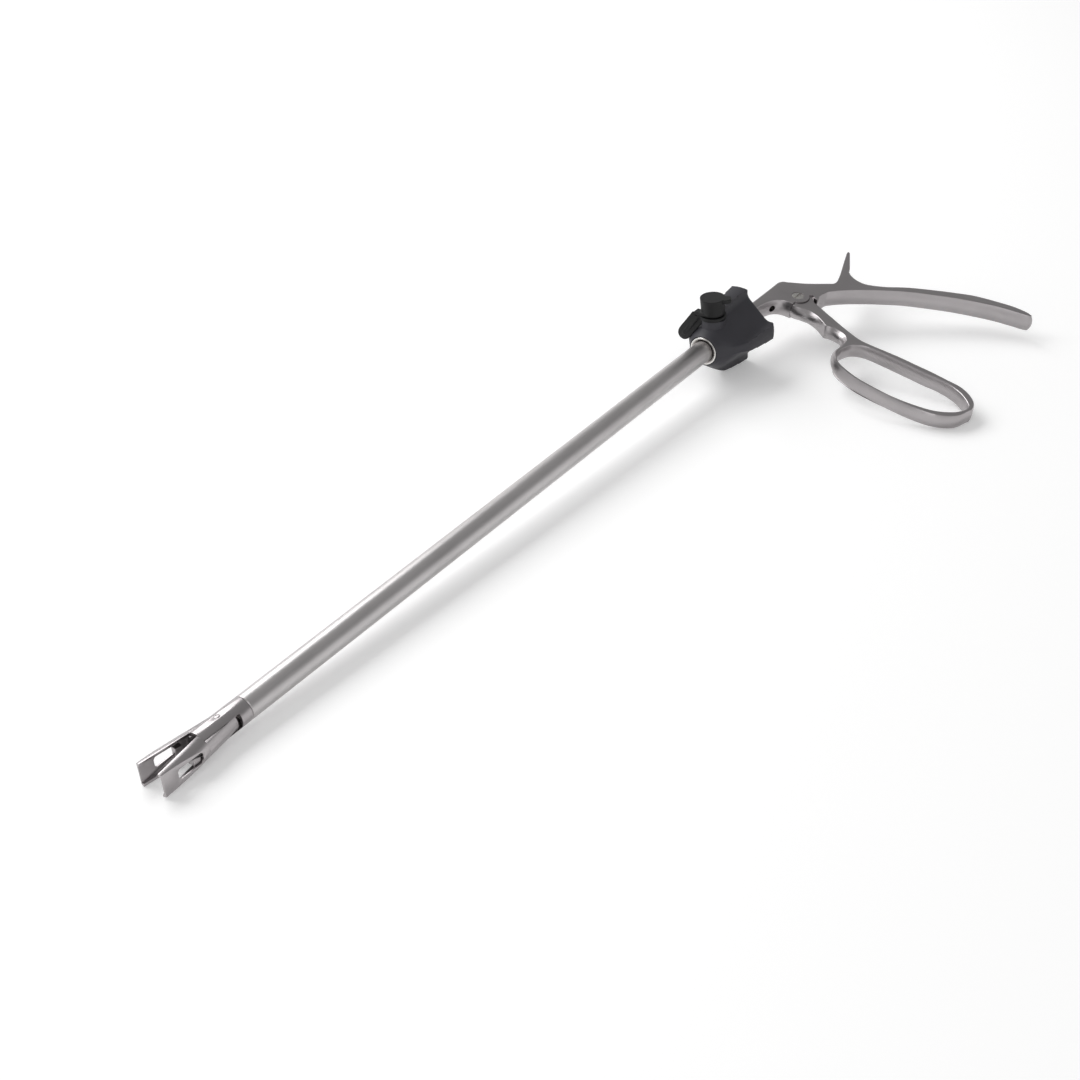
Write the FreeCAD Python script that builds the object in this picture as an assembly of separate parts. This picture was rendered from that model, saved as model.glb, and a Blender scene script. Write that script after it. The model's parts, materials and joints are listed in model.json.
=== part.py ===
import FreeCAD, Part
import os
from math import asin, atan2, cos, degrees, hypot, pi, radians, sin

Vector = FreeCAD.Vector

# An instrument that sets a small spring clamp through a trocar.
# Millimetres. "Along" runs on the tube's axis, zero just in front of the knob, positive to the handle.
# "Reach" runs from the axis towards the finger ring. "Height" stands up from the handle's flat plane.

# Long tube
tube_radius = 5.0
tube_wall = 0.8
tube_front = -302.0
tube_rear = 18.0
tube_seat_step = 0.2
seam_chamfer = 0.3
seat_clearance = 0.02

# End sleeve with its two side slots
sleeve_length = 22.7
sleeve_wall = 1.1
spigot_length = 7.0
spigot_wall = 0.48
slot_height = 6.3
slot_end_from_seam = 5.3
bore_past_slots = 1.0
hinge_from_mouth = 10.9
hinge_pin_radius = 1.1
pin_running_gap = 0.04

# Jaws
jaw_reach = 32.6
jaw_opening = 8.0
jaw_parting = 0.3
jaw_tip_thickness = 1.6
jaw_skin = 0.65
jaw_side_wall = 0.8
jaw_pocket_height = 7.8
mouth_gap = 0.6
window_front = 26.0
window_length = 11.3
window_height = 4.2
window_corner = 0.8
stop_front = 18.2
stop_length = 3.0
stop_height = 3.8
stop_recess = 1.0
stop_bridge = 0.6
tail_height = 6.0
tail_length = 4.2
tail_inner = 2.2
tail_start = 2.9
eye_radius = 2.4
eye_top = 2.75
boss_radius = 1.5
boss_low = 0.5
boss_top = 3.3
eye_parting = 0.1
eye_clearance = 0.3
groove_height = 4.0
groove_depth = 3.0
groove_end = 6.5

# Cam drive between the rod and the jaws
cam_arm_along = 9.0
cam_arm_aside = 2.2
cam_arm_half_width = 0.85
cam_arm_low = 0.95
cam_arm_high = 1.8
cam_pin_radius = 0.55
cam_slot_gap = 0.1
cam_plate_thickness = 1.6
cam_plate_front = 7.5
cam_plate_nose = 4.6
cam_plate_gap = 0.5
cam_plate_shoulder = 1.0
cam_plate_length = 7.0
stud_radius = 0.8
stud_length = 6.0

# Push rod, its guides and its seal
rod_radius = 1.6
rod_running_gap = 0.05
guide_length = 6.0
front_guide_setback = 22.0
guide_places = {"front": tube_front + front_guide_setback, "middle": -150.0, "rear": -20.0}
guide_flute_radius = 0.9
guide_flutes = 3
seal_radius = 3.4
seal_length = 2.8

# Bright hub that carries the tube
hub_front = 2.0
hub_radius = 6.9
hub_rear = 22.3
hub_rim_chamfer = 0.6

# Four-finned knob
knob_front = 2.0
knob_rear = 36.0
knob_rim = 7.4
nose_curve = [(5.0, 9.2), (8.5, 11.8), (12.0, 14.2), (15.0, 16.0), (18.0, 17.0), (24.0, 17.9), (30.0, 18.5)]
fin_radius = 19.0
fin_count = 4
valley_rear_radius = 13.9
valley_front_radius = 10.6
valley_front = 6.4
valley_flat = 12.0
valley_side_radius = 5.0
valley_overrun = 1.0
drag_ring_gap = 0.05

# Flush port, its cap and the strap that holds the cap
port_along = 11.0
port_radius = 3.6
port_bore = 1.9
port_foot = 5.1
port_top = 22.0
port_seat = 13.6
port_boss_radius = 5.4
cap_bottom = 15.5
cap_top = 23.8
cap_bottom_radius = 5.3
cap_top_radius = 5.9
cap_fit = 0.05
cap_recess_gap = 0.5
tab_reach = 8.9
tab_width = 5.0
tab_thickness = 2.0
tab_turn = -70.5
lug_reach = 7.4
lug_width = 4.0
lug_height = 1.6
strap_front = 4.6
strap_width = 4.6
strap_thickness = 1.4
strap_inner_radius = 12.6
strap_gap = 0.35
strap_start = 45.0
strap_end = 71.0
strap_rise = 7.6
strap_boss_gap = 0.3
strap_cap_gap = 0.1
strap_ring_radius = 5.6
strap_ring_height = 1.4
port_seal_section = 0.7
port_seal_height = 7.75

# Neck of the handle, which turns in the knob
journal_front = 22.9
journal_radius = 4.3
neck_half_height = 3.3
neck_corner = 2.2
neck_end = 56.0
journal_overlap = 0.5
knob_running_gap = 0.35
bush_front = 24.3
bush_length = 7.0
bush_running_gap = 0.05
ring_groove_front = 23.3
ring_thickness = 0.8
ring_groove_radius = 3.7
ring_outer_radius = 5.6
ring_side_gap = 0.05
ring_opening = 2.0
drag_ring_from_bush = 2.3
drag_ring_section = 0.75
drag_groove_radius = 3.2

# Handle plate, pivot and palm grip
plate_thickness = 8.6
plate_edge_break = 0.8
spur_edge_break = 0.35
pivot_along = 69.5
pivot_reach = 11.4
screw_head_radius = 3.0
screw_head_height = 1.2
screw_shank_radius = 2.2
screw_sink = 0.15
screw_slot_width = 0.9
screw_slot_depth = 0.6
pivot_running_gap = 0.05
lock_slot = 4.7
lock_clearance = 0.15
cheek_radius = 5.6
cheek_front_angle = -72.0
cheek_rear_angle = 46.0
plate_front = 50.0
palm_corner = [(72.6, -neck_half_height), (75.6, -2.4), (77.8, 0.2)]
spur_root = [(91.3, 16.4), (93.4, 18.6), (96.3, 19.4)]
palm_back = [(106.3, 20.6), (104.2, 24.0), (103.8, 28.5), (105.9, 35.3), (114.3, 46.3), (125.3, 62.3),
             (134.3, 80.3), (138.0, 101.0)]
palm_end = [(137.9, 104.8), (136.2, 107.3), (134.0, 105.4)]
palm_front = [(133.3, 101.4), (131.9, 92.3), (128.3, 81.3), (123.0, 71.3), (110.3, 51.5), (98.3, 36.5),
              (87.0, 23.2), (81.5, 18.6)]
notch = [(72.3, 20.8), (75.0, 16.7)]
throat = [(62.9, 9.6), (59.4, 5.8), (54.5, 3.7)]
spur_front = [(96.5, 18.6), (104.3, 15.7), (119.3, 9.9), (125.2, 8.7)]
spur_tip = [(126.0, 9.2), (125.6, 9.9)]
spur_back = [(108.3, 18.8), (105.4, 21.4), (104.3, 25.0)]
spur_inside = (94.0, 20.2)
rod_bore = 2.0
rod_bore_end = 74.5
flush_hole_radius = 1.8
flush_hole_along = 60.0
flush_hole_slant = 34.0

# Ring lever
lever_thickness = 7.2
ring_edge_break = 0.8
arm_edge_round = 1.2
lever_travel = 12.0
lever_seam = 0.25
arm_front_angle = -68.0
arm_rear_angle = 6.0
arm_back = [(69.0, 22.5), (65.2, 31.3), (61.2, 40.3), (59.2, 47.3), (56.2, 60.0)]
arm_root = [(56.2, 60.0), (46.0, 48.6), (50.4, 47.2)]
arm_saddle = [(50.4, 47.2), (54.6, 44.4), (56.6, 40.3), (56.9, 36.6), (57.9, 33.2)]
arm_front = [(57.9, 33.2), (60.8, 27.3), (62.2, 22.3), (62.6, 18.3)]
tongue_heel_angle = -12.0
ring_band = 2.7
ring_arc_tolerance = 0.1
tongue_disc_radius = 5.2
tongue_link_half_width = 1.3
fork_radius = 1.8
fork_gap = 2.1
fork_depth = 1.6

# Grooved rod end that the lever's fork moves
spool_flange_radius = 1.8
spool_core_radius = 0.9
spool_flange = 1.6
spool_play = 0.15

# How the instrument lies: on its jaw tips, the knob's lowest fin and the finger ring
shaft_turn = 3.5

mouth = tube_front - sleeve_length
hinge_along = mouth + hinge_from_mouth
tube_bore = tube_radius - tube_wall
tube_seat_radius = tube_radius - tube_seat_step
drag_ring_along = bush_front + bush_length + drag_ring_from_bush
sleeve_bore = tube_radius - sleeve_wall
cam_plate_edge = sleeve_bore - cam_plate_gap - cam_arm_aside - cam_pin_radius - cam_slot_gap
fork_along = pivot_along
stroke = pivot_reach * radians(lever_travel)
along_axis = Vector(1, 0, 0)
across_axis = Vector(0, 1, 0)
up_axis = Vector(0, 0, 1)
origin = Vector(0, 0, 0)


def flat(along, reach, height=0.0):
    """A place given on the handle's plane, where the reach runs to the ring's side."""
    return Vector(along, -reach, height)


def bar(front, rear, radius):
    """A round bar on the tube's axis."""
    return Part.makeCylinder(radius, rear - front, Vector(front, 0, 0), along_axis)


def sleeve(front, rear, inner, outer):
    """A round sleeve on the tube's axis."""
    return bar(front, rear, outer).cut(bar(front, rear, inner))


def post(radius, low, high, along=0.0, across=0.0):
    """An upright round post."""
    return Part.makeCylinder(radius, high - low, Vector(along, across, low), up_axis)


def block(front, rear, right, left, low, high):
    """A block between six planes."""
    return Part.makeBox(rear - front, left - right, high - low, Vector(front, right, low))


def soft_ring(middle, section):
    """A rubber ring round the origin's X axis, with an eight-sided section."""
    corners = []
    for number in range(8):
        angle = pi / 4 * (number + 0.5)
        corners.append((section * cos(angle), middle + section * sin(angle)))
    return turned(corners)


def turned(points):
    """A turned piece: its half section in (along, radius), swept round the tube's axis."""
    corners = [Vector(along, 0, radius) for along, radius in points]
    return Part.Face(Part.makePolygon(corners + corners[:1])).revolve(origin, along_axis, 360)


def prism(points, low, high):
    """A straight-sided piece: its outline in (along, across), raised from low to high."""
    corners = [Vector(along, across, low) for along, across in points]
    return Part.Face(Part.makePolygon(corners + corners[:1])).extrude(Vector(0, 0, high - low))


def capsule(start, end, half_width, low, high):
    """A link with round ends between two places in (along, across)."""
    run = Vector(end[0] - start[0], end[1] - start[1], 0)
    link = Part.makeBox(run.Length, 2 * half_width, high - low, Vector(0, -half_width, low))
    link.rotate(origin, up_axis, degrees(atan2(run.y, run.x)))
    link.translate(Vector(start[0], start[1], 0))
    return link.multiFuse([post(half_width, low, high, *start), post(half_width, low, high, *end)])


def side(points):
    """One side of a handle outline: two places give a line, three an arc, more a smooth curve."""
    places = [flat(*point) for point in points]
    if len(places) == 2:
        return Part.LineSegment(*places).toShape()
    if len(places) == 3:
        return Part.Arc(*places).toShape()
    curve = Part.BSplineCurve()
    curve.interpolate(places)
    return curve.toShape()


def plate(sides, thickness):
    """A plate with the given outline, centred on the handle's plane."""
    face = Part.Face(Part.Wire([side(points) for points in sides]))
    solid = face.extrude(Vector(0, 0, thickness))
    solid.translate(Vector(0, 0, -thickness / 2))
    return solid


def rim_edges(solid, thickness):
    """The edges that run round a plate's two flat faces."""
    flat_edges = []
    for edge in solid.Edges:
        box = edge.BoundBox
        on_a_face = abs(abs(box.ZMin) - thickness / 2) < 0.001
        if box.ZLength < 0.001 and on_a_face:
            flat_edges.append(edge)
    return flat_edges


def round_from_pivot(radius, angle):
    """A place round the pivot, the angle measured from straight down the reach towards the palm."""
    turn = radians(angle)
    return pivot_along + radius * sin(turn), pivot_reach + radius * cos(turn)


def pivot_arc(radius, start, stop):
    """Three places round the pivot, for an arc from one angle to another."""
    return [round_from_pivot(radius, angle) for angle in (start, (start + stop) / 2, stop)]


# Tube, end sleeve and the pin that carries the jaws
def shaft_tube():
    """The tube, its front edge broken at the sleeve's seam and its rear turned down to seat in the hub."""
    tube = turned([(tube_front, tube_bore), (tube_front, tube_radius - seam_chamfer),
                   (tube_front + seam_chamfer, tube_radius), (hub_front, tube_radius),
                   (hub_front, tube_seat_radius), (tube_rear, tube_seat_radius), (tube_rear, tube_bore)])
    return tube.cut(post(port_bore, 0, 2 * tube_radius, port_along))


def tip_sleeve():
    """The slotted length and the plain one behind it, which carries the spigot."""
    slot_end = tube_front - slot_end_from_seam
    slot = block(mouth, slot_end, -2 * tube_radius, 2 * tube_radius, -slot_height / 2, slot_height / 2)
    pin_hole = post(hinge_pin_radius + seat_clearance, -2 * tube_radius, 2 * tube_radius, hinge_along)
    slotted = sleeve(mouth, slot_end, sleeve_bore, tube_radius).cut(slot).cut(pin_hole)

    spigot_radius = tube_bore - seat_clearance
    spigot_rear = tube_front + spigot_length
    seam = tube_front - seat_clearance
    plain = turned([(slot_end, 0), (slot_end, tube_radius), (seam - seam_chamfer, tube_radius),
                    (seam, tube_radius - seam_chamfer), (seam, 0)])
    plain = plain.fuse(bar(slot_end, spigot_rear, spigot_radius))
    plain = plain.cut(bar(slot_end, slot_end + bore_past_slots, sleeve_bore))
    plain = plain.cut(bar(slot_end, spigot_rear, spigot_radius - spigot_wall))
    return slotted.fuse(plain)


def hinge_pin():
    pin = post(hinge_pin_radius, -tube_radius, tube_radius, hinge_along)
    return pin.common(bar(mouth, tube_front, tube_radius - seat_clearance))


# A jaw is made closed, with the hinge at zero, and is opened when it is placed
def facet_across(along):
    """How far out the flat outer facet lies at a place along the jaw, with the jaw closed."""
    slope = (tube_radius - jaw_tip_thickness) / (jaw_reach - hinge_from_mouth)
    return tube_radius + (along + hinge_from_mouth) * slope


def closed_jaw():
    front = -jaw_reach
    rear = -hinge_from_mouth - mouth_gap
    beyond = 2 * tube_radius
    jaw = bar(front, rear, tube_radius)
    jaw = jaw.common(block(front, rear, jaw_parting / 2, tube_radius, -tube_radius, tube_radius))
    facet = [(front, facet_across(front)), (rear, facet_across(rear)), (rear, beyond), (front, beyond)]
    jaw = jaw.cut(prism(facet, -tube_radius, tube_radius))
    floor_front = facet_across(front) - jaw_skin
    floor_rear = facet_across(rear) - jaw_skin
    pocket = prism([(front, 0), (rear, 0), (rear, floor_rear), (front, floor_front)],
                   -jaw_pocket_height / 2, jaw_pocket_height / 2)
    pocket = pocket.common(bar(front, rear, tube_radius - jaw_side_wall))
    jaw = jaw.cut(pocket)

    tail = block(rear, -tail_start, jaw_parting / 2, tube_radius, -tail_height / 2, tail_height / 2)
    groove = block(rear, -groove_end, 0, groove_depth, -groove_height / 2, groove_height / 2)
    tail = tail.cut(groove)
    plate_behind = block(-tail_start, tail_length, tail_inner, tube_radius, -tail_height / 2, tail_height / 2)
    tail = tail.fuse(plate_behind).common(bar(rear, tail_length, tube_radius - seat_clearance))
    jaw = jaw.multiFuse([tail, post(eye_radius, eye_parting, eye_top), post(boss_radius, boss_low, boss_top)])
    jaw = jaw.cut(post(eye_radius + eye_clearance, -tube_radius, eye_parting))

    window_rear = window_front - window_length
    low = -window_height / 2
    corners = [(-window_front + window_corner, low), (-window_rear - window_corner, low),
               (-window_rear, low + window_corner), (-window_rear, -low - window_corner),
               (-window_rear - window_corner, -low), (-window_front + window_corner, -low),
               (-window_front, -low - window_corner), (-window_front, low + window_corner)]
    outline = [Vector(along, floor_front - jaw_skin, height) for along, height in corners]
    window = Part.Face(Part.makePolygon(outline + outline[:1])).extrude(Vector(0, tube_radius, 0))
    jaw = jaw.cut(window)
    jaw = jaw.fuse(clip_stop())

    arm_end = (cam_arm_along, cam_arm_aside)
    jaw = jaw.fuse(capsule((0, 0), arm_end, cam_arm_half_width, cam_arm_low, cam_arm_high))
    jaw = jaw.cut(post(hinge_pin_radius + pin_running_gap, -tube_radius, tube_radius))
    pin_hole = post(cam_pin_radius + seat_clearance, 0, tube_radius, *arm_end)
    return jaw.cut(pin_hole).removeSplitter()


def clip_stop():
    """The block behind the window that the clip's end meets, bridged to the channel's walls."""
    front = -stop_front
    rear = front + stop_length
    top_front = facet_across(front) - stop_recess
    top_rear = facet_across(rear) - stop_recess
    half = stop_height / 2
    start = jaw_parting
    stem = prism([(front, start), (rear, start), (rear, top_rear), (front, top_front)], -half, half)
    wide = tube_radius - jaw_side_wall / 2
    bridge = prism([(front, top_front - stop_bridge), (rear, top_rear - stop_bridge),
                    (rear, top_rear), (front, top_front)], -wide, wide)
    return stem.fuse(bridge.common(bar(front, rear, wide)))


def placed_jaw(piece, left):
    """Opens a jaw or its cam pin at the hinge; the right one is the left one turned half round."""
    opened = piece.copy()
    if not left:
        opened.rotate(origin, along_axis, 180)
    opened.rotate(origin, up_axis, -jaw_opening if left else jaw_opening)
    opened.translate(Vector(hinge_along, 0, 0))
    return opened


def cam_pin():
    low = -cam_plate_thickness / 2 + seat_clearance
    return post(cam_pin_radius, low, cam_arm_high, cam_arm_along, cam_arm_aside)


# Rod with the cam plate in front and the grooved end behind
def cam_plate():
    pin_reach = hypot(cam_arm_along, cam_arm_aside)
    open_angle = atan2(cam_arm_aside, cam_arm_along) - radians(jaw_opening)
    slot_start = (pin_reach * cos(open_angle), pin_reach * sin(open_angle))
    slot_end = (cam_arm_along + stroke, cam_arm_aside)
    slot_radius = cam_pin_radius + cam_slot_gap
    half_width = cam_arm_aside + slot_radius + cam_plate_edge
    front = cam_plate_front
    rear = front + cam_plate_length
    low = -cam_plate_thickness / 2
    half = [(front, cam_plate_nose / 2), (front + cam_plate_shoulder, half_width),
            (rear - cam_plate_shoulder, half_width), (rear, rod_radius)]
    outline = half + [(along, -across) for along, across in reversed(half)]
    body = prism(outline, low, -low)
    for mirror in (1, -1):
        start = (slot_start[0], mirror * slot_start[1])
        end = (slot_end[0], mirror * slot_end[1])
        body = body.cut(capsule(start, end, slot_radius, low, -low))
    body = body.fuse(bar(rear - stud_radius, rear + stud_length, stud_radius))
    body.translate(Vector(hinge_along, 0, 0))
    return body


def spool_front():
    """Where the rod ends and the grooved end begins."""
    return fork_along - fork_radius - spool_play - spool_flange


def push_rod():
    front = hinge_along + cam_plate_front + cam_plate_length
    rear = spool_front()
    hole = stud_radius + seat_clearance
    rod = bar(front, rear, rod_radius)
    front_hole = bar(front, front + stud_length + seat_clearance, hole)
    rear_hole = bar(rear - stud_length - seat_clearance, rear, hole)
    return rod.cut(front_hole).cut(rear_hole)


def rod_spool():
    front = spool_front()
    groove = 2 * (fork_radius + spool_play)
    groove_front = front + spool_flange
    groove_rear = groove_front + groove
    return turned([(front - stud_length, 0), (front - stud_length, stud_radius), (front, stud_radius),
                   (front, spool_flange_radius), (groove_front, spool_flange_radius),
                   (groove_front, spool_core_radius), (groove_rear, spool_core_radius),
                   (groove_rear, spool_flange_radius), (groove_rear + spool_flange, spool_flange_radius),
                   (groove_rear + spool_flange, 0)])


def rod_guide(place):
    outer = tube_bore - seat_clearance
    guide = sleeve(place, place + guide_length, rod_radius + rod_running_gap, outer)
    for flute in range(guide_flutes):
        cutter = bar(place, place + guide_length, guide_flute_radius)
        cutter.translate(Vector(0, 0, tube_bore))
        cutter.rotate(origin, along_axis, 360.0 * flute / guide_flutes)
        guide = guide.cut(cutter)
    return guide


def rod_seal():
    return sleeve(tube_rear, tube_rear + seal_length, rod_radius + rod_running_gap, seal_radius - seat_clearance)


# Hub and knob
def tube_hub():
    inner = tube_seat_radius + seat_clearance
    rim = hub_rim_chamfer
    guide = rod_radius + rod_running_gap
    hub = turned([(hub_front, inner + rim), (hub_front, hub_radius), (hub_rear, hub_radius),
                  (hub_rear, guide), (tube_rear + seal_length, guide), (tube_rear + seal_length, seal_radius),
                  (tube_rear, seal_radius), (tube_rear, inner), (hub_front + rim, inner)])
    return hub.cut(post(port_radius + seat_clearance, 0, 2 * hub_radius, port_along))


def knob_skin():
    """The knob's outer form before the valleys: a bell from the rim to the fins' ends."""
    places = [Vector(along, 0, radius) for along, radius in nose_curve]
    places = [Vector(knob_front, 0, knob_rim)] + places + [Vector(knob_rear, 0, fin_radius)]
    bell = Part.BSplineCurve()
    bell.interpolate(places)
    front = Vector(knob_front, 0, 0)
    rear = Vector(knob_rear, 0, 0)
    edges = [Part.LineSegment(front, places[0]).toShape(), bell.toShape(),
             Part.LineSegment(places[-1], rear).toShape(), Part.LineSegment(rear, front).toShape()]
    return Part.Face(Part.Wire(edges)).revolve(origin, along_axis, 360)


def valley_cutter():
    """One hollow between two fins: a flat floor with rounded sides, sinking towards the nose."""
    half = valley_flat / 2
    curve = valley_side_radius
    wide = half + curve
    lift = 2 * curve
    away = wide - curve * cos(pi / 4)
    up = curve - curve * sin(pi / 4)
    corner = half + curve * sin(pi / 4)
    run = knob_rear - valley_front
    sink = (valley_rear_radius - valley_front_radius) / run
    start = valley_front - lift
    stop = knob_rear + valley_overrun

    def at(across, above):
        floor = valley_front_radius + (start - valley_front) * sink
        return Vector(start, across, floor + above)

    edges = [Part.LineSegment(at(-half, 0), at(half, 0)),
             Part.Arc(at(half, 0), at(corner, up), at(wide, curve)),
             Part.LineSegment(at(wide, curve), at(wide, curve + lift)),
             Part.LineSegment(at(wide, curve + lift), at(-wide, curve + lift)),
             Part.LineSegment(at(-wide, curve + lift), at(-wide, curve)),
             Part.Arc(at(-wide, curve), at(-corner, up), at(-half, 0))]
    face = Part.Face(Part.Wire([edge.toShape() for edge in edges]))
    return face.extrude(Vector(stop - start, 0, (stop - start) * sink))


def rotation_knob():
    knob = knob_skin()
    for number in range(fin_count):
        valley = valley_cutter()
        valley.rotate(origin, along_axis, 360.0 * (number + 0.5) / fin_count)
        knob = knob.cut(valley)
    knob = knob.fuse(post(port_boss_radius, hub_radius, port_seat, port_along))
    cap_space = cap_top_radius + cap_recess_gap
    knob = knob.cut(post(cap_space, port_seat, 2 * fin_radius, port_along))
    knob = knob.cut(post(port_radius + seat_clearance, 0, fin_radius, port_along))
    seal_room = port_radius + 2 * port_seal_section
    knob = knob.cut(post(seal_room, hub_radius, port_seal_height + port_seal_section, port_along))
    bore = hub_radius + seat_clearance
    knob = knob.cut(bar(knob_front, bush_front + bush_length, bore))
    lip = drag_groove_radius + 2 * drag_ring_section + drag_ring_gap
    return knob.cut(bar(knob_front, knob_rear, lip))


def knob_bush():
    inner = journal_radius + bush_running_gap
    return sleeve(bush_front, bush_front + bush_length, inner, hub_radius)


# Flush port with cap and strap
def flush_port():
    tube = post(port_radius, port_foot, port_top, port_along)
    return tube.cut(post(port_bore, port_foot, port_top, port_along))


def port_seal():
    ring_radius = port_radius + port_seal_section
    ring = soft_ring(ring_radius, port_seal_section - seat_clearance)
    ring.rotate(origin, across_axis, -90)
    ring.translate(Vector(port_along, 0, port_seal_height))
    return ring


def flush_cap():
    height = cap_top - cap_bottom
    body = Part.makeCone(cap_bottom_radius, cap_top_radius, height, Vector(port_along, 0, cap_bottom), up_axis)
    tab = block(0, tab_reach - tab_width / 2, -tab_width / 2, tab_width / 2, cap_top - tab_thickness, cap_top)
    tab = tab.fuse(post(tab_width / 2, cap_top - tab_thickness, cap_top, tab_reach - tab_width / 2))
    tab.rotate(origin, up_axis, tab_turn)
    tab.translate(Vector(port_along, 0, 0))
    lug_front = strap_front + strap_width / 2 - lug_width / 2
    lug = block(lug_front, lug_front + lug_width, 0, lug_reach, cap_bottom, cap_bottom + lug_height)
    socket = post(port_radius + cap_fit, cap_bottom, port_top + cap_fit, port_along)
    return body.multiFuse([tab, lug]).cut(socket)


def cap_tether():
    """A folded strap: from the port's ring it drops along the knob's nose, folds, and comes back up to the cap."""
    inner_low = strap_inner_radius
    inner_high = inner_low + strap_thickness
    outer_low = inner_high + strap_gap
    outer_high = outer_low + strap_thickness
    rear = strap_front + strap_width
    room = 2 * outer_high

    def run(low, high):
        band = sleeve(strap_front, rear, low, high)
        keep_after = block(strap_front, rear, 0, room, -room, room)
        keep_after.rotate(origin, along_axis, -strap_start)
        keep_before = block(strap_front, rear, -room, 0, -room, room)
        keep_before.rotate(origin, along_axis, -strap_end)
        straight = block(strap_front, rear, -strap_rise, 0, low, high)
        straight.rotate(origin, along_axis, -strap_start)
        return band.common(keep_after).common(keep_before).fuse(straight)

    ring_low = port_seat + seat_clearance
    ring_high = ring_low + strap_ring_height
    below_ring_top = block(strap_front, rear, 0, room, -room, ring_high)
    below_cap = block(strap_front, rear, strap_ring_radius + strap_gap, room, -room, cap_bottom - strap_cap_gap)
    inner = run(inner_low, inner_high).common(below_ring_top)
    outer = run(outer_low, outer_high).common(below_cap)
    fold = sleeve(strap_front, rear, strap_gap / 2, strap_gap / 2 + strap_thickness)
    fold = fold.common(block(strap_front, rear, 0, outer_high, -outer_high, outer_high))
    fold.translate(Vector(0, 0, (inner_high + outer_low) / 2))
    fold.rotate(origin, along_axis, -strap_end)
    ring = post(strap_ring_radius, ring_low, ring_high, port_along)
    strap = inner.cut(post(port_boss_radius + strap_boss_gap, 0, ring_low, port_along))
    strap = strap.multiFuse([ring, outer, fold])
    return strap.cut(post(port_radius + seat_clearance, ring_low, cap_top, port_along)).removeSplitter()


# Ring that holds the knob on the neck, and the rubber ring that gives it drag
def retaining_ring():
    front = ring_groove_front + ring_side_gap
    rear = ring_groove_front + ring_thickness - ring_side_gap
    ring = sleeve(front, rear, ring_groove_radius + seat_clearance, ring_outer_radius)
    half = ring_opening / 2
    return ring.cut(block(front, rear, -half, half, -2 * ring_outer_radius, 0))


def drag_ring():
    ring = soft_ring(drag_groove_radius + seat_clearance + drag_ring_section, drag_ring_section)
    ring.translate(Vector(drag_ring_along, 0, 0))
    return ring


# Palm grip: neck, cheeks round the pivot, palm bar and spur
def palm_plate():
    seam = pivot_arc(cheek_radius, cheek_front_angle, cheek_rear_angle)
    high = -neck_half_height
    low = neck_half_height
    sides = [
        [(plate_front, high), palm_corner[0]],
        palm_corner,
        [palm_corner[-1], spur_root[0]],
        spur_root,
        [spur_root[-1], palm_back[0]],
        palm_back,
        [palm_back[-1], *palm_end[:2]],
        [*palm_end[1:], palm_front[0]],
        palm_front,
        [palm_front[-1], notch[0]],
        notch,
        [notch[-1], seam[-1]],
        seam[::-1],
        [seam[0], *throat, (plate_front, low)],
        [(plate_front, low), (plate_front, high)],
    ]
    return plate(sides, plate_thickness)


def palm_spur():
    sides = [
        [spur_inside, spur_front[0]],
        spur_front,
        [spur_front[-1], *spur_tip],
        [spur_tip[-1], spur_back[0]],
        spur_back,
        [spur_back[-1], spur_inside],
    ]
    return plate(sides, plate_thickness)


def neck_bar():
    half = plate_thickness / 2
    front = knob_rear + knob_running_gap
    neck = block(front, neck_end, -neck_half_height, neck_half_height, -half, half)
    long_edges = [edge for edge in neck.Edges if edge.BoundBox.XLength > neck_corner]
    return neck.makeFillet(neck_corner, long_edges)


def palm_grip():
    half = plate_thickness / 2
    body = palm_plate()
    body = body.makeChamfer(plate_edge_break, rim_edges(body, plate_thickness))
    spur = palm_spur()
    spur = spur.makeChamfer(spur_edge_break, rim_edges(spur, plate_thickness))
    journal = bar(journal_front, knob_rear + knob_running_gap + journal_overlap, journal_radius)
    groove_rear = ring_groove_front + ring_thickness
    drag_half = drag_ring_section + 2 * seat_clearance
    journal = journal.cut(sleeve(ring_groove_front, groove_rear, ring_groove_radius, 2 * journal_radius))
    journal = journal.cut(sleeve(drag_ring_along - drag_half, drag_ring_along + drag_half,
                                 drag_groove_radius, 2 * journal_radius))
    body = body.multiFuse([spur, neck_bar(), journal])

    lock = lock_slot / 2
    room = lock_clearance + spool_play
    swing = sin(radians(lever_travel)) * pivot_reach
    slot_top = -fork_radius - room
    outline = [flat(fork_along - swing - fork_radius - room, slot_top), flat(fork_along + fork_radius + room, slot_top),
               flat(fork_along + fork_radius + 2 * room, pivot_reach), flat(pivot_along - tongue_disc_radius, pivot_reach)]
    outline = [(corner.x, corner.y) for corner in outline]
    body = body.cut(prism(outline, -lock, lock))
    body = body.cut(post(cheek_radius + lock_clearance, -lock, lock, pivot_along, -pivot_reach))
    body = body.cut(bar(journal_front, rod_bore_end, rod_bore))
    head_low = half - screw_sink - screw_head_height
    body = body.cut(post(screw_shank_radius + seat_clearance, -half, half, pivot_along, -pivot_reach))
    body = body.cut(post(screw_head_radius + seat_clearance, head_low, half, pivot_along, -pivot_reach))
    slant = radians(flush_hole_slant)
    away = Vector(-sin(slant), -cos(slant), 0)
    hole = Part.makeCylinder(flush_hole_radius, 2 * plate_thickness, Vector(flush_hole_along, 0, 0), away)
    return body.cut(hole)


def pivot_screw():
    half = plate_thickness / 2
    top = half - screw_sink
    head = post(screw_head_radius, top - screw_head_height, top, pivot_along, -pivot_reach)
    shank = post(screw_shank_radius, -top, top, pivot_along, -pivot_reach)
    slot = block(pivot_along - screw_head_radius, pivot_along + screw_head_radius,
                 -pivot_reach - screw_slot_width / 2, -pivot_reach + screw_slot_width / 2,
                 top - screw_slot_depth, top)
    return head.fuse(shank).cut(slot)


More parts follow.
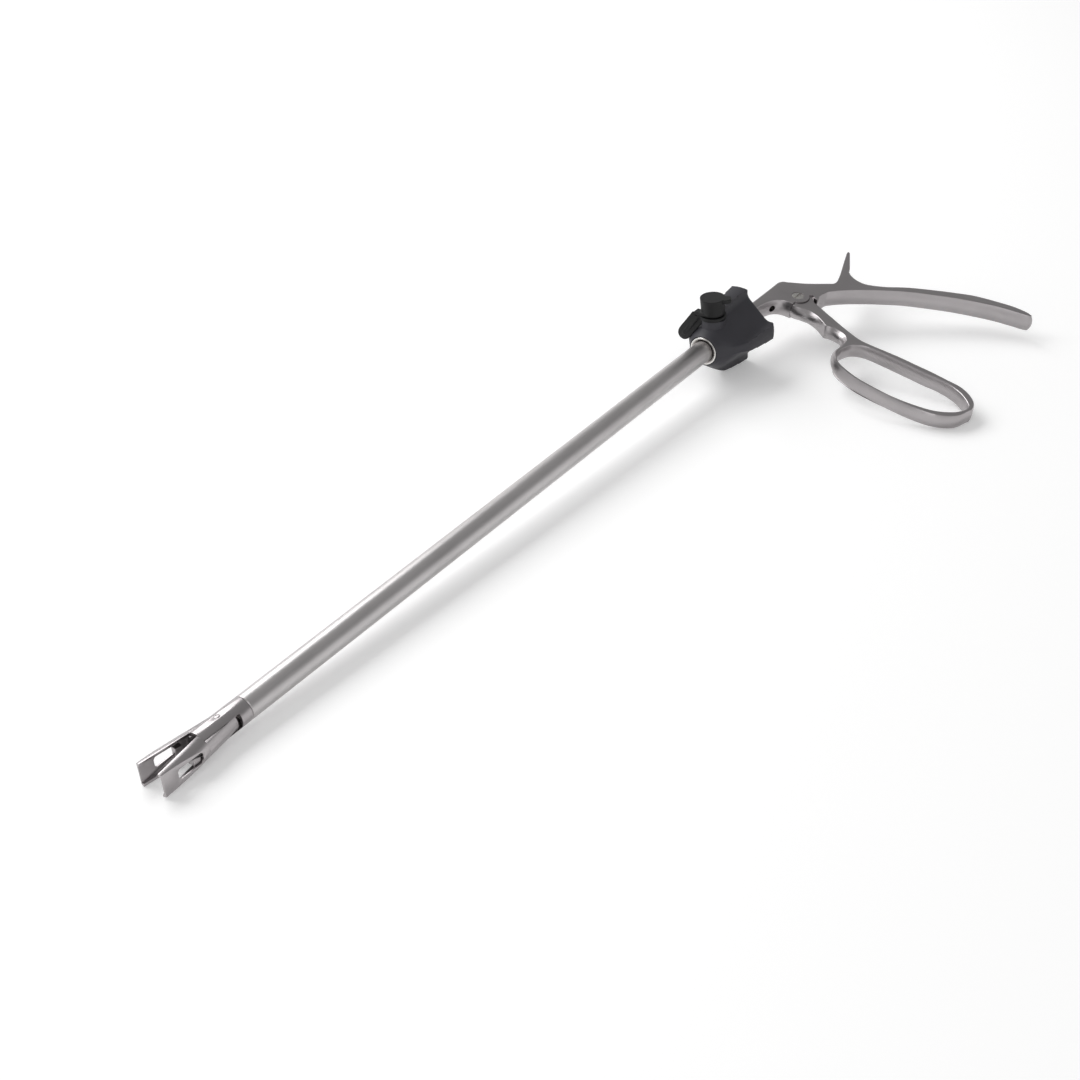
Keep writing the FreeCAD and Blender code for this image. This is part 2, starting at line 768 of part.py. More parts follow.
# Ring lever: finger ring, arm, and the tongue whose fork moves the rod
ring_outline = [(40.8, 46.9), (32.6, 51.6), (27.6, 65.5), (24.6, 86.3), (27.2, 105.3), (34.0, 114.9), (43.0, 118.0),
                (52.0, 111.5), (56.2, 101.5), (57.4, 84.0), (57.3, 66.0), (54.8, 53.4), (48.6, 47.6)]


def ring_face():
    curve = Part.BSplineCurve()
    curve.interpolate([flat(*point) for point in ring_outline], PeriodicFlag=True)
    return Part.Face(Part.Wire([arc.toShape() for arc in curve.toBiArcs(ring_arc_tolerance)]))


def lever_arm():
    top = pivot_arc(cheek_radius + lever_seam, arm_front_angle, arm_rear_angle)
    sides = [
        top,
        [top[-1], *arm_back],
        arm_root[:2],
        arm_root[1:],
        arm_saddle,
        [*arm_front, top[0]],
    ]
    return plate(sides, lever_thickness)


def ring_lever():
    outer = ring_face()
    inner = outer.makeOffset2D(-ring_band)
    rise = Vector(0, 0, lever_thickness)
    lift = Vector(0, 0, -lever_thickness / 2)
    ring = outer.extrude(rise)
    ring.translate(lift)
    hole = inner.extrude(rise)
    hole.translate(lift)
    ring = ring.cut(hole)
    ring = ring.makeChamfer(ring_edge_break, rim_edges(ring, lever_thickness))
    arm = lever_arm()
    free_sides = [edge for edge in rim_edges(arm, lever_thickness) if isinstance(edge.Curve, Part.BSplineCurve)]
    arm = arm.makeFillet(arm_edge_round, free_sides)
    body = ring.fuse(arm.cut(hole))

    half = lock_slot / 2 - lock_clearance
    pivot = (pivot_along, -pivot_reach)
    fork = (fork_along, 0.0)
    below = flat(*round_from_pivot(2 * cheek_radius, tongue_heel_angle))
    tongue = post(tongue_disc_radius, -half, half, *pivot)
    tongue = tongue.fuse(capsule(pivot, fork, tongue_link_half_width, -half, half))
    tongue = tongue.fuse(post(fork_radius, -half, half, *fork))
    tongue = tongue.fuse(capsule(pivot, (below.x, below.y), fork_radius, -half, half))
    side_gap = fork_gap / 2
    gap = block(fork_along - 2 * fork_radius, fork_along + 2 * fork_radius, -fork_depth, 2 * fork_radius,
                -side_gap, side_gap)
    tongue = tongue.cut(gap)
    hole = post(screw_shank_radius + pivot_running_gap, -half, half, *pivot)
    return body.fuse(tongue).cut(hole)


closed = closed_jaw()
pin = cam_pin()

shaft_pieces = {
    "shaft_tube": shaft_tube(),
    "tip_sleeve": tip_sleeve(),
    "hinge_pin": hinge_pin(),
    "left_jaw": placed_jaw(closed, True),
    "right_jaw": placed_jaw(closed, False),
    "left_cam_pin": placed_jaw(pin, True),
    "right_cam_pin": placed_jaw(pin, False),
    "cam_plate": cam_plate(),
    "push_rod": push_rod(),
    "rod_spool": rod_spool(),
    "rod_seal": rod_seal(),
    "tube_hub": tube_hub(),
    "rotation_knob": rotation_knob(),
    "knob_bush": knob_bush(),
    "flush_port": flush_port(),
    "port_seal": port_seal(),
    "flush_cap": flush_cap(),
    "cap_tether": cap_tether(),
}
for name, place in guide_places.items():
    shaft_pieces["rod_guide_" + name] = rod_guide(place)

handle_pieces = {
    "palm_grip": palm_grip(),
    "pivot_screw": pivot_screw(),
    "retaining_ring": retaining_ring(),
    "drag_ring": drag_ring(),
    "ring_lever": ring_lever(),
}

# Lay the instrument down: the knob's lowest fin lifts the axis, and the handle rolls onto the ring
tip_along = hinge_along - jaw_reach * cos(radians(jaw_opening))
tip_aside = jaw_reach * sin(radians(jaw_opening))
tip_drop = tube_radius * cos(radians(shaft_turn)) + tip_aside * sin(radians(shaft_turn))
pitch = asin((fin_radius - tip_drop) / (knob_rear - tip_along))
ring_along, ring_reach = max(ring_outline, key=lambda point: point[1])
axis_height = tip_drop + (ring_along - tip_along) * sin(pitch)
half_lever = lever_thickness / 2
ring_distance = hypot(ring_reach, half_lever)
handle_roll = asin(axis_height / ring_distance) - atan2(half_lever, ring_reach)

for piece in shaft_pieces.values():
    piece.rotate(origin, along_axis, -shaft_turn)
for piece in handle_pieces.values():
    piece.rotate(origin, along_axis, degrees(handle_roll))

pieces = {**shaft_pieces, **handle_pieces}
for piece in pieces.values():
    piece.rotate(origin, across_axis, -degrees(pitch))
box = Part.makeCompound(list(pieces.values())).optimalBoundingBox(False)
shift = Vector(-box.Center.x, -box.Center.y, -box.ZMin)

os.makedirs("parts", exist_ok=True)
for name, piece in pieces.items():
    piece.translate(shift)
    piece.exportStep("parts/" + name + ".step")
    print(name, len(piece.Solids), piece.isValid(), round(piece.Volume, 1))
print("box", round(box.XLength, 2), round(box.YLength, 2), round(box.ZLength, 2))
print("pitch", round(degrees(pitch), 7), "roll", round(degrees(handle_roll), 7), "shift", shift)
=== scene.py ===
import json
from math import acos, cos, hypot, pi, radians, sin, sqrt

import bmesh
import bpy
from mathutils import Matrix, Vector
from mathutils.geometry import tessellate_polygon

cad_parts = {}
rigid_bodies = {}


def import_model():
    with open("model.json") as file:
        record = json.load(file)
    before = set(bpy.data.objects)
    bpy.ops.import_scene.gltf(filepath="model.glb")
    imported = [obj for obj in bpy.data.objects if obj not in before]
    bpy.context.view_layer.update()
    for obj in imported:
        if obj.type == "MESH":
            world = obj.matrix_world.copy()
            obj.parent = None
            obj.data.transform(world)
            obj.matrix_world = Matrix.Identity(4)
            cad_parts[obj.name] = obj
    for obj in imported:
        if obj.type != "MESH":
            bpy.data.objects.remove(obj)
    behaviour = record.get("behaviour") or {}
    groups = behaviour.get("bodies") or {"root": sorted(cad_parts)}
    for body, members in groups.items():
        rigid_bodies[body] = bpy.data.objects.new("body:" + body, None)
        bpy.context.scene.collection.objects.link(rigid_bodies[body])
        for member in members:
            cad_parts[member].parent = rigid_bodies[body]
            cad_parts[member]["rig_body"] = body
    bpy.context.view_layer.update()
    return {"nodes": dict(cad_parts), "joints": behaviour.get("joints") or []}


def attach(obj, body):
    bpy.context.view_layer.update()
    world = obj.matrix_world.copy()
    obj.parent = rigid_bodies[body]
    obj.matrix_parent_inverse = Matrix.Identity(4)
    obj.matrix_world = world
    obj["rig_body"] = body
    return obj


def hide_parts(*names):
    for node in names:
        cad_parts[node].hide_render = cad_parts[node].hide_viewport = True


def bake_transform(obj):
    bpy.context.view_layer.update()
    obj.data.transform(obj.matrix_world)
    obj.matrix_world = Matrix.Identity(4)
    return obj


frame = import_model()

# Studio: a white sweep lit by a broad softbox behind the tube, with a small fill from the front.
# The camera stands where the photograph was taken: in front of the jaws, looking down the tube.
scene = bpy.context.scene
scene.view_settings.view_transform = "Standard"


def linear(hex_colour):
    """An sRGB hex colour as the linear values that a shader takes."""
    channels = [int(hex_colour[place:place + 2], 16) / 255 for place in (1, 3, 5)]
    return [c / 12.92 if c <= 0.04045 else ((c + 0.055) / 1.055) ** 2.4 for c in channels] + [1.0]


def add_node(tree, kind, sockets=None, **settings):
    """One node with its settings, and each socket set to a value or linked to another node's output."""
    made = tree.nodes.new(kind)
    for key, value in settings.items():
        setattr(made, key, value)
    for key, value in (sockets or {}).items():
        if isinstance(value, bpy.types.NodeSocket):
            tree.links.new(value, made.inputs[key])
        else:
            made.inputs[key].default_value = value
    return made


camera = bpy.data.objects.new("camera", bpy.data.cameras.new("camera"))
camera.data.sensor_width = 36.0
camera.data.lens = 57.5
camera.location = (-0.51304, -0.3105, 0.3956)
camera.rotation_mode = "QUATERNION"
camera.rotation_quaternion = Vector((0.6666, 0.4888, -0.5621)).to_track_quat("-Z", "Y")
camera.data.clip_start = 0.01
scene.collection.objects.link(camera)
scene.camera = camera

world = bpy.data.worlds.new("white_sweep")
world.use_nodes = True
scene.world = world
sky = world.node_tree
sky.nodes.clear()
direction = add_node(sky, "ShaderNodeTexCoord").outputs["Generated"]
rise = add_node(sky, "ShaderNodeSeparateXYZ", {"Vector": direction}).outputs["Z"]
sweep = add_node(sky, "ShaderNodeValToRGB", {"Fac": rise})
sweep.color_ramp.elements[0].position = 0.16
sweep.color_ramp.elements[0].color = (1.0, 1.0, 1.0, 1.0)
sweep.color_ramp.elements[1].position = 0.34
sweep.color_ramp.elements[1].color = (0.28, 0.28, 0.28, 1.0)
overhead = sweep.color_ramp.elements.new(0.85)
overhead.color = (0.4, 0.4, 0.4, 1.0)
glow = add_node(sky, "ShaderNodeBackground", {"Color": sweep.outputs["Color"], "Strength": 1.0})
add_node(sky, "ShaderNodeOutputWorld", {"Surface": glow.outputs["Background"]})


def softbox(name, place, target, width, height, power):
    lamp = bpy.data.objects.new(name, bpy.data.lights.new(name, "AREA"))
    lamp.data.shape = "RECTANGLE"
    lamp.data.size = width
    lamp.data.size_y = height
    lamp.data.energy = power
    lamp.location = place
    lamp.rotation_mode = "QUATERNION"
    lamp.rotation_quaternion = (Vector(target) - Vector(place)).to_track_quat("-Z", "Y")
    scene.collection.objects.link(lamp)


softbox("key_softbox", (0.0, 1.25, 1.15), (0.0, 0.0, 0.0), 1.9, 1.0, 24.0)
softbox("front_fill", (-1.3, -0.5, 0.9), (0.0, 0.0, 0.0), 0.8, 0.8, 4.0)

floor_half = 6.0
floor_height = -0.0002
floor_corners = [(-floor_half, -floor_half, floor_height), (floor_half, -floor_half, floor_height),
                 (floor_half, floor_half, floor_height), (-floor_half, floor_half, floor_height)]
floor_mesh = bpy.data.meshes.new("floor")
floor_mesh.from_pydata(floor_corners, [], [(0, 1, 2, 3)])
floor = bpy.data.objects.new("floor", floor_mesh)
scene.collection.objects.link(floor)
paper = bpy.data.materials.new("white_paper_sweep")
paper.use_nodes = True
tree = paper.node_tree
tree.nodes.clear()
seen = add_node(tree, "ShaderNodeLightPath")
shown = add_node(tree, "ShaderNodeMath", {0: seen.outputs["Is Camera Ray"], 1: seen.outputs["Is Glossy Ray"]},
                 operation="MAXIMUM")
lift = add_node(tree, "ShaderNodeMath", {0: shown.outputs[0], 1: 0.22}, operation="MULTIPLY")
matt = add_node(tree, "ShaderNodeBsdfDiffuse", {"Color": (0.88, 0.88, 0.88, 1.0)})
white = add_node(tree, "ShaderNodeEmission", {"Color": (1.0, 1.0, 1.0, 1.0), "Strength": lift.outputs[0]})
both = add_node(tree, "ShaderNodeAddShader", {0: matt.outputs[0], 1: white.outputs[0]})
add_node(tree, "ShaderNodeOutputMaterial", {"Surface": both.outputs[0]})
floor_mesh.materials.append(paper)

# Tube: stainless steel tubing, 10 mm across, drawn and then finished to a satin by belts run along it.
# It is pressed into the hub behind and takes the tip sleeve's spigot in front.
joints = {joint["name"]: joint for joint in frame["joints"]}
forward = -Vector(joints["rod_push"]["axis"]).normalized()
MM = 0.001


def lying(up, known_place, known_point):
    """The placement of a group drawn in millimetres along the tube's axis, from one point's known place."""
    up = Vector(up).normalized()
    if up.z < 0:
        up = -up
    turn = Matrix((forward, up.cross(forward), up)).transposed()
    start = Vector(known_place) - turn @ (Vector(known_point) * MM)
    return Matrix.Translation(start) @ turn.to_4x4() @ Matrix.Scale(MM, 4)


hinge_along = -313.8
shaft = lying(joints["left_jaw_close"]["axis"], joints["left_jaw_close"]["pos_m"], (hinge_along, 0, 0))
pitch = acos(min(1.0, forward.x))


def stainless(name, colour, grain, streak, roughness, depth):
    """Stainless steel: a blasted or brushed grain that also sets the gloss, with slow cloudy changes of tone.
    """
    made = bpy.data.materials.new(name)
    made.use_nodes = True
    tree = made.node_tree
    tree.nodes.clear()
    place = add_node(tree, "ShaderNodeTexCoord").outputs["Object"]
    along = add_node(tree, "ShaderNodeMapping", {"Vector": place, "Rotation": (0, pitch, 0),
                                                 "Scale": (streak, 1, 1)})
    grit = add_node(tree, "ShaderNodeTexNoise", {"Vector": along.outputs[0], "Scale": 1 / (grain * MM),
                                                 "Detail": 3.0, "Roughness": 0.6})
    cloud = add_node(tree, "ShaderNodeTexNoise", {"Vector": place, "Scale": 55.0, "Detail": 4.0,
                                                  "Roughness": 0.55})
    shade = add_node(tree, "ShaderNodeMapRange", {"Value": cloud.outputs["Fac"], "From Min": 0.3,
                                                  "From Max": 0.7, "To Min": 0.0, "To Max": 1.0})
    fleck = add_node(tree, "ShaderNodeMath", {0: grit.outputs["Fac"], 1: 0.5, 2: shade.outputs[0]},
                     operation="MULTIPLY_ADD")
    tint = add_node(tree, "ShaderNodeValToRGB", {"Fac": fleck.outputs[0]})
    base = linear(colour)
    tint.color_ramp.elements[0].color = [c * 0.93 for c in base[:3]] + [1.0]
    tint.color_ramp.elements[1].color = [min(1.0, c * 1.05) for c in base[:3]] + [1.0]
    gloss = add_node(tree, "ShaderNodeMapRange", {"Value": grit.outputs["Fac"], "From Min": 0.25,
                                                  "From Max": 0.75, "To Min": roughness - 0.05,
                                                  "To Max": roughness + 0.05})
    dents = add_node(tree, "ShaderNodeBump", {"Height": grit.outputs["Fac"], "Strength": 0.5,
                                              "Distance": depth * MM})
    metal = add_node(tree, "ShaderNodeBsdfPrincipled",
                     {"Base Color": tint.outputs["Color"], "Metallic": 1.0, "Roughness": gloss.outputs[0],
                      "Normal": dents.outputs[0]})
    add_node(tree, "ShaderNodeOutputMaterial", {"Surface": metal.outputs[0]})
    return made


# Belt-finished: faint streaks along the tube; the scratches are drawn 0.3 mm apart so that they show
satin_tube = stainless("belt_satin_stainless", "#BDBABA", 0.3, 0.03, 0.40, 0.006)


def keep(mesh, name, material, body, nodes, place=None):
    """A finished piece, with its shading, material, body and the node that it stands for."""
    if place is not None:
        mesh.transform(place)
    mesh.name = name
    mesh.materials.clear()
    mesh.materials.append(material)
    piece = bpy.data.objects.new(name, mesh)
    scene.collection.objects.link(piece)
    smooth(mesh)
    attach(piece, body)
    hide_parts(*nodes)
    return piece


def smooth(mesh, angle=32):
    """Rounded shading, with a crisp line only where two faces meet at more than the angle."""
    work = bmesh.new()
    work.from_mesh(mesh)
    for face in work.faces:
        face.smooth = True
    for edge in work.edges:
        edge.smooth = len(edge.link_faces) != 2 or edge.calc_face_angle(0.0) < radians(angle)
    work.to_mesh(mesh)
    work.free()


def skin(rings, closed=False):
    """A closed skin over rings of points in order: the last joins the first, or both ends get a face."""
    count = len(rings[0])
    faces = []
    pairs = list(zip(range(len(rings)), range(1, len(rings))))
    if closed:
        pairs.append((len(rings) - 1, 0))
    for one, two in pairs:
        for place in range(count):
            after = (place + 1) % count
            faces.append((one * count + place, one * count + after, two * count + after, two * count + place))
    if not closed:
        faces.append(tuple(range(count)))
        faces.append(tuple(range((len(rings) - 1) * count, len(rings) * count)))
    mesh = bpy.data.meshes.new("skin")
    mesh.from_pydata([point for ring in rings for point in ring], [], faces)
    return outward(mesh)


def outward(mesh):
    work = bmesh.new()
    work.from_mesh(mesh)
    bmesh.ops.recalc_face_normals(work, faces=work.faces)
    work.to_mesh(mesh)
    work.free()
    return mesh


def turned(profile, closed=True, segments=96):
    """A turned form on the tube's axis, from its half section in (along, radius)."""
    rings = []
    for place, radius in profile:
        ring = []
        for number in range(segments):
            angle = 2 * pi * number / segments
            ring.append((place, radius * sin(angle), radius * cos(angle)))
        rings.append(ring)
    return skin(rings, closed)


def eased(profile, ease, steps=3):
    """A closed half section with each corner rounded by the given length."""
    rounded = []
    for number, corner in enumerate(profile):
        corner = Vector(corner)
        before = Vector(profile[number - 1]) - corner
        after = Vector(profile[(number + 1) % len(profile)]) - corner
        reach = min(ease, before.length / 2.2, after.length / 2.2)
        one = corner + before.normalized() * reach
        two = corner + after.normalized() * reach
        for step in range(steps + 1):
            part = step / steps
            rounded.append((1 - part) ** 2 * one + 2 * part * (1 - part) * corner + part ** 2 * two)
    return rounded


tube_radius = 5.0
tube_front = -302.0
tube_rear = 18.0
tube_wall = 0.8
tube_seat = 4.8
tube_seat_front = 2.0
tube_chamfer = 0.3
tube_bore = tube_radius - tube_wall
tube_face = tube_front + 0.03
tube_section = [(tube_face, tube_bore), (tube_face, tube_radius - tube_chamfer),
                (tube_face + tube_chamfer, tube_radius), (tube_seat_front, tube_radius),
                (tube_seat_front, tube_seat), (tube_rear, tube_seat), (tube_rear, tube_bore)]
long_tube = turned(eased(tube_section, 0.1))
keep(long_tube, "long_tube", satin_tube, "shaft", ["shaft_tube"], shaft)

# Tip: the slotted sleeve, its hinge pin and the pair of jaws, milled from stainless bar and bead-blasted.
# Each jaw is a channel with a window and a stop that hold the small clamp; their edges are broken by hand.
# Bead-blasted: a fine even frosting; the dimples are drawn 0.35 mm apart so that they show
blasted = stainless("bead_blasted_stainless", "#A8A4A5", 0.35, 1.0, 0.32, 0.008)


def eased_copy(node, width, angle=35):
    """A node's solid with its loose triangles merged, its flats cleaned and its corners broken."""
    source = frame["nodes"][node]
    work = bmesh.new()
    work.from_mesh(source.data)
    bmesh.ops.remove_doubles(work, verts=work.verts, dist=0.000002)
    bmesh.ops.dissolve_limit(work, angle_limit=radians(1.0), verts=work.verts, edges=work.edges)
    sharp = [edge for edge in work.edges
             if len(edge.link_faces) == 2 and edge.calc_face_angle(0.0) > radians(angle)]
    bmesh.ops.bevel(work, geom=sharp, offset=width * MM, offset_type="OFFSET", segments=2, profile=0.5,
                    affect="EDGES", clamp_overlap=True)
    mesh = bpy.data.meshes.new(node)
    work.to_mesh(mesh)
    work.free()
    return mesh


for node in ("tip_sleeve", "hinge_pin", "left_jaw", "right_jaw"):
    body = frame["nodes"][node]["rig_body"]
    keep(eased_copy(node, 0.1), node + "_blasted", blasted, body, [node])

# Drive inside the tube: the rod, its cam plate and pins in front and its grooved end behind, ground bright.
# They are hidden in the assembled instrument, but for the cam plate seen through the sleeve's side slots.
bright = stainless("ground_bright_stainless", "#CFCDC9", 0.5, 0.05, 0.22, 0.003)
for node in ("push_rod", "cam_plate", "rod_spool", "left_cam_pin", "right_cam_pin", "retaining_ring",
             "flush_port"):
    body = frame["nodes"][node]["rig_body"]
    keep(eased_copy(node, 0.06), node + "_ground", bright, body, [node])


def moulded(name, colour, roughness, grain, depth, ior=1.5):
    """A moulded plastic or rubber: a fine spark-eroded grain, with slow changes of gloss from handling."""
    made = bpy.data.materials.new(name)
    made.use_nodes = True
    tree = made.node_tree
    tree.nodes.clear()
    place = add_node(tree, "ShaderNodeTexCoord").outputs["Object"]
    grit = add_node(tree, "ShaderNodeTexNoise", {"Vector": place, "Scale": 1 / (grain * MM), "Detail": 2.0})
    cloud = add_node(tree, "ShaderNodeTexNoise", {"Vector": place, "Scale": 90.0, "Detail": 3.0})
    tint = add_node(tree, "ShaderNodeValToRGB", {"Fac": cloud.outputs["Fac"]})
    base = linear(colour)
    tint.color_ramp.elements[0].position = 0.3
    tint.color_ramp.elements[0].color = [c * 0.88 for c in base[:3]] + [1.0]
    tint.color_ramp.elements[1].position = 0.7
    tint.color_ramp.elements[1].color = [min(1.0, c * 1.12) for c in base[:3]] + [1.0]
    gloss = add_node(tree, "ShaderNodeMapRange", {"Value": cloud.outputs["Fac"], "From Min": 0.3,
                                                  "From Max": 0.7, "To Min": roughness - 0.05,
                                                  "To Max": roughness + 0.05})
    dents = add_node(tree, "ShaderNodeBump", {"Height": grit.outputs["Fac"], "Strength": 0.4,
                                              "Distance": depth * MM})
    resin = add_node(tree, "ShaderNodeBsdfPrincipled", {"Base Color": tint.outputs["Color"],
                                                        "Roughness": gloss.outputs[0], "IOR": ior,
                                                        "Normal": dents.outputs[0]})
    add_node(tree, "ShaderNodeOutputMaterial", {"Surface": resin.outputs[0]})
    return made


# Guides: plastic rings that centre the rod in the tube, turned from bearing plastic with three flutes
# that let flushing water past. The bush behind them carries the neck in the knob.
bearing = moulded("turned_bearing_plastic", "#DAD3C0", 0.5, 0.3, 0.004)
for node in ("rod_guide_front", "rod_guide_middle", "rod_guide_rear", "knob_bush"):
    keep(eased_copy(node, 0.1), node + "_turned", bearing, "shaft", [node])

# Seals: small black silicone rings round the rod, the port and the neck. None shows from outside.
silicone = moulded("black_silicone", "#232226", 0.42, 0.25, 0.003)
for node in ("rod_seal", "port_seal", "drag_ring"):
    body = frame["nodes"][node]["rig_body"]
    keep(eased_copy(node, 0.08), node + "_soft", silicone, body, [node])

# Hub: the bright turned ring that joins the tube to the knob. Its rim shows as a thin bright circle,
# with a narrow dark gap between it and the tube.
hub_section = [(2.0, 5.75), (1.7, 6.2), (1.7, 6.75), (2.1, 6.9), (22.3, 6.9), (22.3, 5.3), (3.4, 5.05),
               (2.6, 5.1)]
hub_metal = stainless("turned_bright_stainless", "#DAD8D5", 0.4, 1.0, 0.2, 0.002)
keep(turned(eased(hub_section, 0.12)), "hub_ring", hub_metal, "shaft", ["tube_hub"], shaft)

# Knob: a four-finned hand wheel moulded in black heat-proof plastic, bell-shaped in front.
# A port for rinsing stands on its nose, in a round recess, and all its edges are softly rounded.
knob_front = 2.0
knob_rear = 36.0
bell = [(2.0, 7.3), (3.0, 8.0), (5.0, 9.2), (8.5, 11.8), (12.0, 14.2), (15.0, 16.0), (18.0, 17.0),
        (24.0, 17.9), (30.0, 18.5), (36.0, 19.0)]
valley_flat = 6.0
valley_curve = 5.0
recess_floor = 13.6
recess_radius = 6.5
boss_radius = 5.4
port_along = 11.0
fin_round = 2.6
rear_round = 2.0


def between(table, place):
    """The value at a place in a table of (place, value), along a smooth line through its points."""
    for number in range(len(table) - 1):
        (a, low), (b, high) = table[number], table[number + 1]
        if place <= b or number == len(table) - 2:
            before = table[max(number - 1, 0)]
            after = table[min(number + 2, len(table) - 1)]
            start = (high - before[1]) / max(b - before[0], 1e-6) * (b - a)
            stop = (after[1] - low) / max(after[0] - a, 1e-6) * (b - a)
            t = min(1.0, max(0.0, (place - a) / (b - a)))
            return ((2 * t ** 3 - 3 * t ** 2 + 1) * low + (t ** 3 - 2 * t ** 2 + t) * start
                    + (3 * t ** 2 - 2 * t ** 3) * high + (t ** 3 - t ** 2) * stop)


def valley_reach(place, angle):
    """How far from the axis the hollow between two fins lies, at an angle from the hollow's middle."""
    floor = 10.6 + (place - 6.4) * 0.1115
    angle = abs((angle + pi / 4) % (pi / 2) - pi / 4)
    flat = floor / cos(angle)
    if flat * sin(angle) <= valley_flat:
        return flat
    middle = Vector((valley_flat, floor + valley_curve))
    ray = Vector((sin(angle), cos(angle)))
    along = middle.dot(ray)
    spare = along ** 2 - middle.length_squared + valley_curve ** 2
    if spare <= 0:
        return 40.0
    return along - sqrt(spare) if (along - sqrt(spare)) > 0 else 40.0


def soft_least(a, b, blend):
    """The lesser of two lengths, with a round where they are nearly equal."""
    part = max(blend - abs(a - b), 0.0) / blend
    return min(a, b) - part * part * blend / 4


def soft_step(value, low, high):
    part = min(1.0, max(0.0, (value - low) / (high - low)))
    return part * part * (3 - 2 * part)


def knob_reach(place, angle):
    reach = soft_least(between(bell, place), valley_reach(place, angle + pi / 4), fin_round)
    if place > knob_rear - rear_round:
        reach -= rear_round - sqrt(max(0.0, rear_round ** 2 - (place - knob_rear + rear_round) ** 2))
    if cos(angle) < 0.5:
        return reach
    away = hypot(place - port_along, reach * sin(angle))
    if reach * cos(angle) > recess_floor:
        skin_share = soft_step(away, recess_radius - 0.2, recess_radius + 0.35)
    else:
        skin_share = soft_step(away, boss_radius - 0.25, boss_radius + 0.25)
    return skin_share * reach + (1 - skin_share) * recess_floor / cos(angle)


knob_columns = 288
rings = []
places = [knob_front + 0.1 * step for step in range(5)]
places += [2.5 + 0.3 * step for step in range(int((knob_rear - rear_round - 2.5) / 0.3))]
places += [knob_rear - rear_round + rear_round * sin(pi / 2 * step / 7) for step in range(8)]
for place in places:
    ring = []
    for column in range(knob_columns):
        angle = 2 * pi * column / knob_columns
        reach = knob_reach(place, angle)
        ring.append((place, reach * sin(angle), reach * cos(angle)))
    rings.append(ring)
knob_bore = [(36.0, 12.0), (36.0, 7.0), (35.9, 5.4), (35.6, 5.15), (31.4, 5.15), (31.3, 6.92), (2.3, 6.95),
             (2.0, 7.1)]
knob_turns = [2 * pi * column / knob_columns for column in range(knob_columns)]
for place, radius in knob_bore:
    rings.append([(place, radius * sin(turn), radius * cos(turn)) for turn in knob_turns])
# Moulded heat-proof plastic: a deep neutral black with a matte spark-eroded skin
knob_plastic = moulded("moulded_black_plastic", "#2E2D33", 0.55, 0.4, 0.006)
knob_skin = skin(rings, closed=True)
keep(knob_skin, "finned_knob", knob_plastic, "shaft", ["rotation_knob"], shaft)

# Cap: a slightly tapered silicone plug over the port, with a pull tab on its rim and a foot for the strap.
# The strap is a ribbon of the same silicone, folded once beside the knob's nose.
cap_bottom = 15.4
cap_top = 23.7
cap_soft = moulded("black_silicone_cap", "#060607", 0.5, 0.3, 0.004, ior=1.4)


def fused_soft(forms, voxel, rounds):
    """Overlapping closed forms joined into one moulded skin, its corners softened."""
    work = bmesh.new()
    for form in forms:
        work.from_mesh(form)
    joined = bpy.data.meshes.new("joined")
    work.to_mesh(joined)
    work.free()
    holder = bpy.data.objects.new("joined", joined)
    scene.collection.objects.link(holder)
    remesh = holder.modifiers.new("remesh", "REMESH")
    remesh.mode = "VOXEL"
    remesh.voxel_size = voxel
    ease = holder.modifiers.new("ease", "SMOOTH")
    ease.factor = 0.5
    ease.iterations = rounds
    result = made_real(holder)
    bpy.data.objects.remove(holder)
    return result


def made_real(holder):
    """The object's mesh with its modifiers worked out."""
    graph = bpy.context.evaluated_depsgraph_get()
    graph.update()
    return bpy.data.meshes.new_from_object(holder.evaluated_get(graph))


def raised(outline, low, high):
    """A straight-sided form from its outline in (along, across)."""
    return skin([[(x, y, low) for x, y in outline], [(x, y, high) for x, y in outline]])


def disc(radius, low, high, along, taper=0.0, segments=72):
    rings = []
    for height, reach in ((low, radius - taper), (high, radius)):
        rings.append([(along + reach * sin(2 * pi * n / segments), reach * cos(2 * pi * n / segments), height)
                      for n in range(segments)])
    return skin(rings)


tab_turn = radians(-70.5)
tab_reach = 6.4
tab_half = 2.5
tab = []
for number in range(25):
    swing = pi * number / 24 - pi / 2
    tab.append((tab_reach + tab_half * cos(swing), tab_half * sin(swing)))
tab += [(0.0, tab_half), (0.0, -tab_half)]
tab = [(port_along + x * cos(tab_turn) - y * sin(tab_turn), x * sin(tab_turn) + y * cos(tab_turn))
       for x, y in tab]
foot = [(5.8, 0.0), (9.6, 0.0), (9.6, 7.2), (5.8, 7.2)]
cap_forms = [disc(5.9, cap_bottom, cap_top, port_along, 0.6), raised(tab, cap_top - 2.0, cap_top),
             raised(foot, cap_bottom, cap_bottom + 1.6)]
skin_step = 0.16
keep(fused_soft(cap_forms, skin_step, 5), "port_cap", cap_soft, "cap", ["flush_cap"], shaft)

strap_width = 4.6
strap_thickness = 1.4
strap_path = [(7.0, 3.0, 14.2), (6.6, 5.0, 12.9), (6.2, 7.2, 10.0), (5.9, 9.0, 7.6), (5.9, 10.8, 5.2),
              (5.9, 12.0, 3.9), (5.9, 13.3, 3.4), (5.9, 14.0, 4.4), (5.9, 12.9, 6.4), (5.9, 11.0, 8.8),
              (5.9, 9.2, 11.2), (6.2, 7.6, 13.4), (6.6, 6.4, 15.2)]
strap_tree = bpy.data.node_groups.new("strap_along_path", "GeometryNodeTree")
strap_tree.interface.new_socket("Geometry", in_out="INPUT", socket_type="NodeSocketGeometry")
strap_tree.interface.new_socket("Width", in_out="INPUT", socket_type="NodeSocketFloat")
strap_tree.interface.new_socket("Thickness", in_out="INPUT", socket_type="NodeSocketFloat")
strap_tree.interface.new_socket("Finish", in_out="INPUT", socket_type="NodeSocketMaterial")
strap_tree.interface.new_socket("Geometry", in_out="OUTPUT", socket_type="NodeSocketGeometry")
given = add_node(strap_tree, "NodeGroupInput")
